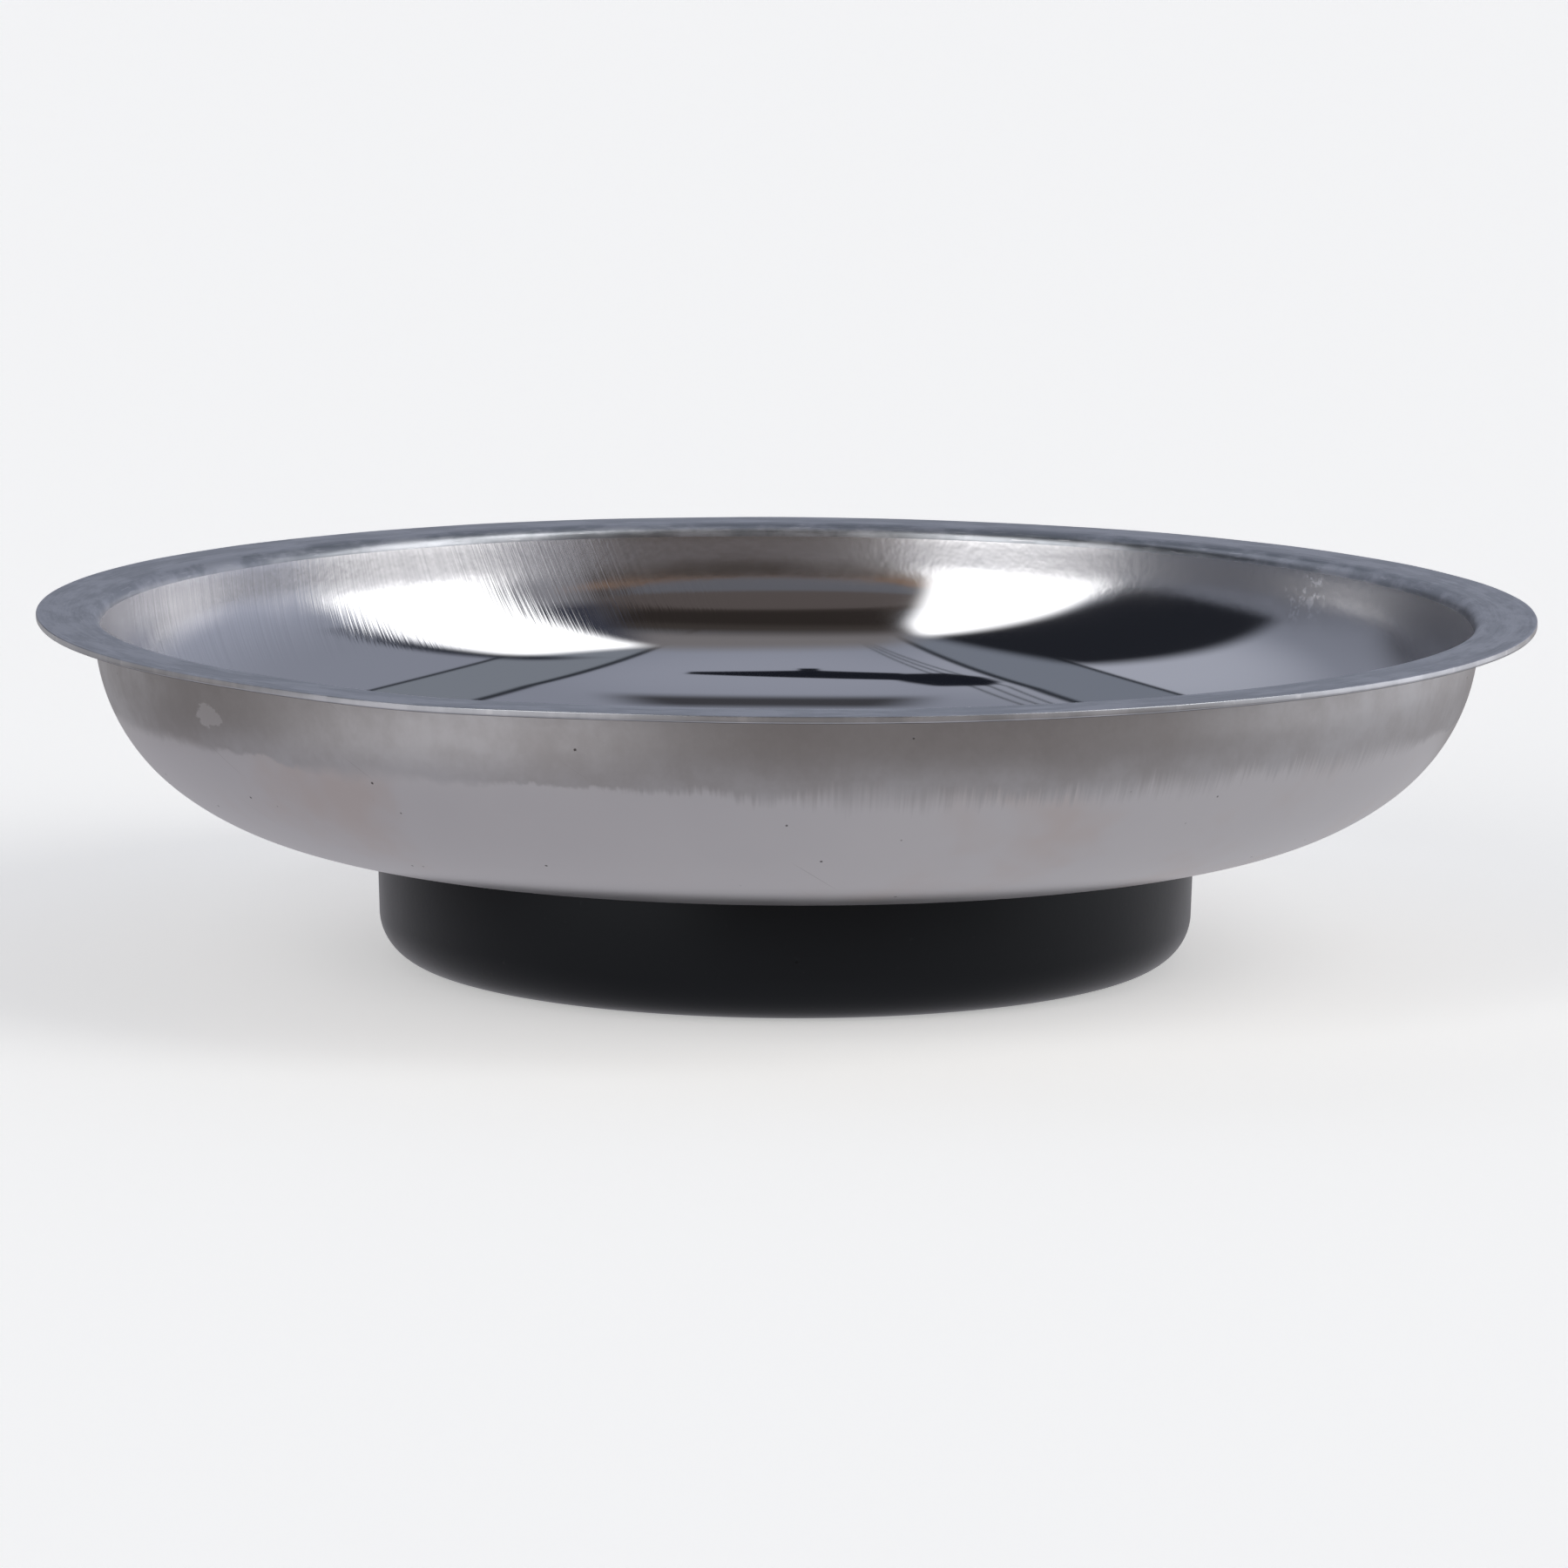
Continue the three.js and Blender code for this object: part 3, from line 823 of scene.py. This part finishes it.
def stainless_rim():
    """Flange: pressed flat and left dull, with fine scratches round it, smudges from handling and a
    lip lightened for burnish wear and as a painted highlight."""
    made, n = material("stainless_rim")
    at = Round(n)
    rings = n.noise(at.rings(2600, 9), 1.0, 3, 0.6)
    smudge = n.noise(at.rings(420, 9), 1.0, 4, 0.65)
    scratch = n.step(n.noise(at.rings(9000, 24), 1.0, 2), 0.62, 0.70)
    # Painted highlight: the outermost lip is lightened, for burnish wear and for the light its edge
    # catches.
    burnish_and_highlight = n.times(n.step(at.radius, LIP_START, LIP_END), 0.35)
    colour = n.blend(n.step(smudge, 0.40, 0.60), FLANGE_DARK, FLANGE_PALE)
    colour = n.blend(burnish_and_highlight, colour, LIP_BURNISH_AND_HIGHLIGHT)
    colour = n.blend(n.times(scratch, 0.5), colour, FLANGE_SCRATCH)
    rough = n.step(n.plus(rings, smudge), 0.8, 1.2, *FLANGE_ROUGHNESS)
    normal = n.bump(n.plus(rings, scratch), 6 * MICRON)
    surface(n, Base_Color=colour, Metallic=1.0, Roughness=rough, Normal=normal)
    return made


RUBBER_BLACK, RUBBER_BLOOM = (0.0022, 0.0026, 0.0032), (0.0042, 0.0046, 0.0055)
RUBBER_DUST = (0.05, 0.048, 0.046)
RUBBER_GLOSS = (0.90, 0.95, 1.0)


def black_rubber():
    """Moulded rubber with a satin skin, faint dust and a few pinholes."""
    made, n = material("black_rubber")
    at = Round(n)
    skin_grain = n.noise(at.place, 1500, 3, 0.6)
    bloom = n.noise(at.place, 45, 4, 0.6)
    dust = n.step(n.noise(at.place, 900, 2), 0.70, 0.80)
    pits = n.specks(at.place, 260, 0.62)
    colour = n.blend(bloom, RUBBER_BLACK, RUBBER_BLOOM)
    colour = n.blend(n.times(dust, 0.15), colour, RUBBER_DUST)
    rough = n.step(bloom, 0.3, 0.7, 0.28, 0.34)
    relief = n.minus(skin_grain, n.times(pits, 4.0))
    surface(
        n,
        Base_Color=colour,
        Roughness=rough,
        Normal=n.bump(relief, 8 * MICRON),
        IOR=1.5,
        Specular_IOR_Level=0.26,
        Specular_Tint=RUBBER_GLOSS,
        Sheen_Weight=0.025,
        Sheen_Roughness=0.35,
    )
    return made


def zinc_plate():
    """Bright zinc over pressed steel, faintly spangled."""
    made, n = material("zinc_plate")
    at = Round(n)
    spangle = n.cells(at.place, 700)
    rings = n.noise(at.rings(900, 12), 1.0, 3)
    colour = n.blend(spangle, (0.52, 0.54, 0.57), (0.68, 0.69, 0.70))
    rough = n.step(rings, 0.3, 0.7, 0.26, 0.40)
    normal = n.bump(rings, 12 * MICRON)
    surface(n, Base_Color=colour, Metallic=1.0, Roughness=rough, Normal=normal)
    return made


def spring_steel():
    """Phosphated spring steel, dark and slightly blotchy."""
    made, n = material("spring_steel")
    at = Round(n)
    blotch = n.noise(at.place, 900, 4, 0.6)
    colour = n.blend(blotch, (0.10, 0.10, 0.11), (0.26, 0.26, 0.27))
    rough = n.step(blotch, 0.3, 0.7, 0.34, 0.52)
    normal = n.bump(blotch, 10 * MICRON)
    surface(n, Base_Color=colour, Metallic=1.0, Roughness=rough, Normal=normal)
    return made


def stud_steel():
    """Cold-headed stud with faint turning marks."""
    made, n = material("stud_steel")
    at = Round(n)
    marks = n.noise(at.streaks(6, 9000), 1.0, 2)
    colour = n.blend(marks, (0.50, 0.48, 0.44), (0.62, 0.60, 0.56))
    rough = n.step(marks, 0.3, 0.7, 0.22, 0.36)
    normal = n.bump(marks, 6 * MICRON)
    surface(n, Base_Color=colour, Metallic=1.0, Roughness=rough, Normal=normal)
    return made


def ferrite():
    """Sintered ferrite: charcoal, matt, with grinding marks and pores."""
    made, n = material("ferrite")
    at = Round(n)
    grains = n.noise(at.place, 2200, 4, 0.7)
    ground = n.noise(at.place, 90, 3)
    pores = n.step(n.cells(at.place, 900), 0.08, 0.16, 1.0, 0.0)
    colour = n.blend(grains, (0.030, 0.030, 0.033), (0.075, 0.075, 0.080))
    rough = n.step(ground, 0.3, 0.7, 0.55, 0.75)
    relief = n.minus(grains, pores)
    surface(n, Base_Color=colour, Roughness=rough, Normal=n.bump(relief, 30 * MICRON))
    return made


def epoxy():
    """Cast black epoxy, glossy, with dust and small bubbles."""
    made, n = material("epoxy_potting")
    at = Round(n)
    bubbles = n.step(n.cells(at.place, 600), 0.10, 0.20, 1.0, 0.0)
    film = n.noise(at.place, 80, 3)
    colour = n.blend(film, (0.014, 0.013, 0.011), (0.030, 0.027, 0.022))
    rough = n.step(film, 0.3, 0.7, 0.18, 0.34)
    surface(n, Base_Color=colour, Roughness=rough, Normal=n.bump(bubbles, 40 * MICRON))
    return made


def foam():
    """Closed-cell foam tape."""
    made, n = material("foam_pad")
    at = Round(n)
    cells = n.cells(at.place, 2600)
    tint = n.noise(at.place, 120, 3)
    colour = n.blend(tint, (0.045, 0.046, 0.050), (0.085, 0.086, 0.092))
    rough = n.step(cells, 0.1, 0.6, 0.80, 0.95)
    surface(n, Base_Color=colour, Roughness=rough, Normal=n.bump(cells, 60 * MICRON))
    return made


# ---- Assembly ----


def place(piece, node, slot, *materials):
    """The piece stands for a CAD node, rides on the one body and takes the materials it is given;
    the slot is not used.
    """
    for made in materials:
        piece.data.materials.append(made)
    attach(piece, "root")
    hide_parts(node)


zinc = zinc_plate()
place(
    build_dish(),
    "dish",
    "stainless_steel",
    stainless_inside(),
    stainless_rim(),
    stainless_outside(),
)
place(build_boot(), "rubber_boot", "black_rubber", black_rubber())
place(build_pot(), "magnet_pot", "zinc_plated_steel", zinc)
place(build_magnet(), "ring_magnet", "ferrite", ferrite())
place(build_potting(), "potting_ring", "epoxy", epoxy())
place(build_pad(), "seating_pad", "foam_pad", foam())
place(build_washer(), "flat_washer", "fastener_zinc", zinc)
place(build_split_washer(), "spring_washer", "spring_steel", spring_steel())
place(build_stud(), "weld_stud", "stud_steel", stud_steel())
place(build_nut(), "hex_nut", "fastener_zinc", zinc)


# ---- Studio ----

SOFTBOX = (2.6, 2.6, 2.6)
METAL_BLACK = (0.015, 0.017, 0.025)
FLAG_BLACK = (0.021, 0.023, 0.030)
SEAM_DARK = (0.035, 0.04, 0.05)
LEAD_DARK = (0.13, 0.14, 0.16)
ROOM_SIDES = (0.335, 0.355, 0.425)
ROOM_CEILING = (0.40, 0.42, 0.50)
RIGHT_GAIN = 0.5
LEFT_LOSS = 0.27


def aim(azimuth, elevation):
    """A direction from the tray: azimuth clockwise from +Y seen from above, in degrees."""
    a, e = math.radians(azimuth), math.radians(elevation)
    return Vector((math.cos(e) * math.sin(a), math.cos(e) * math.cos(a), math.sin(e)))


def overhead(x, y):
    """A direction to a point of the ceiling, in ceiling heights from the point over the tray."""
    return Vector((x, y, 1)).normalized()


def ceiling_line(start, end, half_width):
    """The four corners of a narrow strip across the ceiling."""
    side = Vector((start[1] - end[1], end[0] - start[0])).normalized() * half_width
    return [
        overhead(start[0] - side.x, start[1] - side.y),
        overhead(start[0] + side.x, start[1] + side.y),
        overhead(end[0] + side.x, end[1] + side.y),
        overhead(end[0] - side.x, end[1] - side.y),
    ]


CEILING_SEAMS = [
    ((-0.60, -0.7), (-0.69, 1.5)),
    ((-0.30, -0.7), (-0.445, 1.5)),
    ((0.265, -0.7), (0.52, 1.5)),
    ((0.59, -0.7), (0.80, 1.5)),
]
SEAM_HALF_WIDTH = 0.011
LEADS = 3
LEAD_HALF_WIDTH = 0.0035
LEAD_SPACING = 0.022


def ceiling_strip(left, right):
    """The corners of the ceiling between two seams."""
    return [overhead(*point) for point in (*CEILING_SEAMS[left], *CEILING_SEAMS[right][::-1])]


def oval(azimuth, elevation, half_width, half_height):
    """An oval round a direction: the direction, and its two axes scaled to reach one at the edge.
    The half sizes are tangents of the angles they subtend."""
    middle = aim(azimuth, elevation)
    side = Vector((middle.y, -middle.x, 0)).normalized()
    return middle, side / half_width, side.cross(middle) / half_height


# What surrounds the tray: each panel is an oval or a list of the directions to its corners, with
# the softness of its edge and its radiance. Later panels hide earlier ones.
PANELS = [
    # light on the wall to the left, above the flag, and what the seams divide on the ceiling
    (oval(272, 50, 0.52, 0.37), 0.9, (0.54, 0.565, 0.65)),
    (ceiling_strip(0, 1), 0.006, (0.25, 0.275, 0.33)),
    (ceiling_strip(2, 3), 0.006, (0.275, 0.30, 0.345)),
]
for seam in CEILING_SEAMS:
    PANELS.append((ceiling_line(*seam, SEAM_HALF_WIDTH), 0.007, SEAM_DARK))
# leads that come over the boom
for lead in range(LEADS):
    offset = LEAD_SPACING * lead
    far = (offset - 0.335, 0.60)
    bend = (1.3 * offset - 0.325, 0.22)
    near = (0.4 * offset - 0.185, -0.60)
    for start, end in ((far, bend), (bend, near)):
        PANELS.append((ceiling_line(start, end, LEAD_HALF_WIDTH), 0.003, LEAD_DARK))
PANELS += [
    # foot of the lit wall behind to the right, and a doorway behind to the left
    ([aim(28, 4), aim(64, 4), aim(64, -12), aim(28, -12)], 0.13, (1.50, 1.47, 1.55)),
    ([aim(308, 10), aim(350, 10), aim(350, -8), aim(308, -8)], 0.14, (0.06, 0.06, 0.07)),
    # lamp housing behind the boom
    (
        [overhead(-0.17, 0.32), overhead(0.22, 0.32), overhead(0.15, 0.48), overhead(-0.12, 0.48)],
        0.045,
        (0.07, 0.07, 0.08),
    ),
    # boom overhead: its head, its arm and the knob on the arm
    (
        [
            overhead(-0.335, 0.15),
            overhead(-0.30, 0.20),
            overhead(-0.21, 0.19),
            overhead(-0.165, 0.12),
            overhead(-0.15, 0.01),
            overhead(-0.27, 0.005),
            overhead(-0.325, 0.07),
        ],
        0.012,
        METAL_BLACK,
    ),
    (
        [
            overhead(-0.19, 0.11),
            overhead(0.16, 0.028),
            overhead(0.16, -0.008),
            overhead(-0.04, -0.045),
            overhead(-0.19, 0.0),
        ],
        0.007,
        METAL_BLACK,
    ),
    (
        [
            overhead(-0.055, 0),
            overhead(-0.02, 0),
            overhead(-0.02, -0.075),
            overhead(-0.055, -0.075),
        ],
        0.006,
        METAL_BLACK,
    ),
    # the ceiling over the dark room behind the camera, and the table before it
    ([aim(214, 64), aim(132, 64), aim(132, 48), aim(212, 48)], 0.08, (0.25, 0.235, 0.24)),
    ([aim(209, 55), aim(136, 50), aim(142, 0), aim(204, 0)], 0.07, (0.065, 0.055, 0.05)),
    ([aim(213, 2.5), aim(138, 2.5), aim(138, -9), aim(213, -9)], 0.05, (0.30, 0.225, 0.19)),
    # what stands in the dark room: a lit doorway in a wooden frame
    (oval(203, 19, 0.10, 0.13), 0.5, (0.20, 0.145, 0.11)),
    (oval(177, 27.5, 0.56, 0.17), 0.08, (0.24, 0.145, 0.09)),
    (oval(177, 33.5, 0.60, 0.17), 0.16, (0.075, 0.06, 0.055)),
    (oval(177, 28, 0.42, 0.165), 0.14, (0.165, 0.168, 0.19)),
    (oval(177, 34.5, 0.46, 0.115), 0.15, (0.13, 0.11, 0.105)),
    ([aim(204, 50), aim(142, 45), aim(148, 38), aim(200, 39)], 0.035, (0.038, 0.031, 0.028)),
    # wall beside the right softbox, dark towards the top, and the frame above it
    ([aim(139, 44), aim(118, 44), aim(112, 3), aim(144, 3)], 0.09, (0.33, 0.33, 0.36)),
    ([aim(140, 60), aim(118, 60), aim(118, 32), aim(143, 32)], 0.07, (0.05, 0.055, 0.08)),
    ([aim(112, 66), aim(99, 62), aim(87, 26), aim(90, 26)], 0.03, (0.03, 0.035, 0.05)),
    # right softbox and what it lights below
    ([aim(88, 16), aim(131, 16), aim(131, -6), aim(88, -6)], 0.08, (0.87, 0.87, 0.90)),
    ([aim(137, 63), aim(103, 58), aim(92, 11), aim(124, 11)], 0.045, SOFTBOX),
    # left softbox, what it lights below, and the black flag beside it
    ([aim(201, 14), aim(240, 14), aim(240, -6), aim(201, -6)], 0.06, (0.66, 0.66, 0.69)),
    ([aim(208, 50), aim(216, 56), aim(229, 49), aim(239, 9), aim(206, 9)], 0.045, SOFTBOX),
    (
        [aim(215, 56), aim(232, 60), aim(268, 58), aim(278, 14), aim(243, 10)],
        0.055,
        FLAG_BLACK,
    ),
]


def oval_mask(n, direction, shape, softness):
    """One where a direction lies inside the oval, fading at its edge."""
    middle, side, up = shape
    dots = []
    for axis in (middle, side, up):
        dot = n.add("ShaderNodeVectorMath", {0: direction, 1: axis}, operation="DOT_PRODUCT")
        dots.append(dot.outputs["Value"])
    squares = n.plus(n.maths("POWER", dots[1], 2), n.maths("POWER", dots[2], 2))
    inside = n.step(squares, 1 - softness, 1 + softness, 1.0, 0.0)
    return n.times(inside, n.maths("GREATER_THAN", dots[0], 0.0))


def corners_mask(n, direction, corners, softness):
    """One where a direction lies inside the corners, fading at the edges between them."""
    middle = sum(corners, Vector())
    mask = None
    for here, there in zip(corners, corners[1:] + corners[:1]):
        inward = here.cross(there).normalized()
        if inward.dot(middle) < 0:
            inward = -inward
        dot = n.add("ShaderNodeVectorMath", {0: direction, 1: inward}, operation="DOT_PRODUCT")
        side = n.step(dot.outputs["Value"], -softness, softness)
        mask = side if mask is None else n.times(mask, side)
    return mask


def build_studio():
    """Grey room, lighter to the right and darker to the left, with two softboxes towards the
    camera. The camera itself sees plain white."""
    world = bpy.data.worlds.new("studio")
    bpy.context.scene.world = world
    world.use_nodes = True
    n = Nodes(world.node_tree)
    direction = n.add("ShaderNodeTexCoord").outputs["Generated"]
    x, _, z = n.add("ShaderNodeSeparateXYZ", {0: direction}).outputs
    low = n.step(z, 0.05, 0.60, 1.0, 0.0)
    right = n.times(n.maths("MAXIMUM", x, 0.0), RIGHT_GAIN)
    left = n.times(n.maths("MINIMUM", x, 0.0), LEFT_LOSS)
    gain = n.plus(1.0, n.times(low, n.plus(right, left)))
    room = n.blend(n.step(z, 0.90, 1.0), ROOM_SIDES, ROOM_CEILING)
    scaled = n.add("ShaderNodeVectorMath", {0: room, "Scale": gain}, operation="SCALE")
    colour = scaled.outputs[0]
    for shape, softness, radiance in PANELS:
        mask_of = oval_mask if isinstance(shape, tuple) else corners_mask
        colour = n.blend(mask_of(n, direction, shape, softness), colour, radiance)
    studio = n.add("ShaderNodeBackground", {"Color": colour})
    white = n.add("ShaderNodeBackground", {"Color": (1.0, 1.0, 1.0, 1.0)})
    seen = n.add("ShaderNodeLightPath").outputs["Is Camera Ray"]
    mixed = n.add("ShaderNodeMixShader", {0: seen, 1: studio.outputs[0], 2: white.outputs[0]})
    n.add("ShaderNodeOutputWorld", {"Surface": mixed.outputs[0]})


FLOOR_HALF = 6.0
FLOOR_DROP = 0.0001
FLOOR_PAPER = (0.95, 0.94, 0.90)
FLOOR_GLOW = 0.42
MIRRORED_LEFT = (0.45, 0.44, 0.475)
MIRRORED_RIGHT = (0.56, 0.555, 0.585)
MIRRORED_SIDES = 0.12
NEAR_FLOOR_END = (0.092, 0.128)
MIRRORED_MIDDLE = (0.225, 0.205, 0.20)
FAR_FLOOR_START = (0.17, 0.24)
MIRRORED_FAR = (0.42, 0.39, 0.38)
FLOOR_GLEAMS = [
    (224, 32, (0.76, 0.745, 0.77), (0.90, 0.88, 0.90)),
    (308, 36, (0.44, 0.43, 0.45), (0.5, 0.49, 0.5)),
    (84, 44, (0.55, 0.545, 0.57), (1.4, 1.4, 1.45)),
]


def mirrored_floor(n):
    """What reflections see below the horizon: an evenly lit floor near the tray, brighter to the
    right, and a darker one farther out, on which the softboxes gleam."""
    at = Round(n)
    near = n.blend(n.step(at.x, -MIRRORED_SIDES, MIRRORED_SIDES), MIRRORED_LEFT, MIRRORED_RIGHT)
    is_far = n.step(at.radius, *FAR_FLOOR_START)
    around = n.blend(is_far, MIRRORED_MIDDLE, MIRRORED_FAR)
    for azimuth, width, middle_gleam, far_gleam in FLOOR_GLEAMS:
        gleam = n.blend(is_far, middle_gleam, far_gleam)
        around = n.blend(at.side(azimuth, width, 4), around, gleam)
    return n.blend(n.step(at.radius, *NEAR_FLOOR_END), near, around)


def build_floor():
    """A pale sweep, lit from under as well as from above. Only the camera sees it so. It lies a
    hair below the tray, so that the two faces don't coincide."""
    corners = [(-1, -1), (1, -1), (1, 1), (-1, 1)]
    points = [(x * FLOOR_HALF, y * FLOOR_HALF, -FLOOR_DROP) for x, y in corners]
    mesh = bpy.data.meshes.new("floor")
    mesh.from_pydata(points, [], [(0, 1, 2, 3)])
    floor = bpy.data.objects.new("floor", mesh)
    bpy.context.collection.objects.link(floor)
    made, n = material("floor_paper")
    paper = n.add("ShaderNodeBsdfDiffuse", {"Color": (*FLOOR_PAPER, 1)})
    glow = n.add("ShaderNodeEmission", {"Color": (1, 1, 1, 1), "Strength": FLOOR_GLOW})
    lit = n.add("ShaderNodeAddShader", {0: paper.outputs[0], 1: glow.outputs[0]})
    mirrored = n.add("ShaderNodeEmission", {"Color": mirrored_floor(n)})
    seen = n.add("ShaderNodeLightPath").outputs["Is Camera Ray"]
    shader = n.add("ShaderNodeMixShader", {0: seen, 1: mirrored.outputs[0], 2: lit.outputs[0]})
    n.add("ShaderNodeOutputMaterial", {"Surface": shader.outputs[0]})
    mesh.materials.append(made)


# ---- Camera ----

CAMERA_DISTANCE = 0.85
CAMERA_ELEVATION = math.radians(8.8)
CAMERA_ROLL = math.radians(0.34)
CAMERA_LENS = 194
CAMERA_TARGET = Vector((-0.00019, 0, 0.01725))
CAMERA_NEAR, CAMERA_FAR = 0.01, 50


def build_camera():
    """Low and level with the tray's front, a hair rolled, as the photo was taken."""
    back = Vector((0, -math.cos(CAMERA_ELEVATION), math.sin(CAMERA_ELEVATION)))
    side = Vector((1, 0, 0))
    up = back.cross(side)
    right = math.cos(CAMERA_ROLL) * side + math.sin(CAMERA_ROLL) * up
    up = back.cross(right)
    turn = Matrix((right, up, back)).transposed().to_4x4()
    data = bpy.data.cameras.new("camera")
    data.lens = CAMERA_LENS
    data.clip_start = CAMERA_NEAR
    data.clip_end = CAMERA_FAR
    camera = bpy.data.objects.new("camera", data)
    camera.matrix_world = Matrix.Translation(CAMERA_TARGET + CAMERA_DISTANCE * back) @ turn
    bpy.context.collection.objects.link(camera)
    bpy.context.scene.camera = camera


build_studio()
build_floor()
build_camera()
bpy.context.scene.view_settings.view_transform = "Standard"
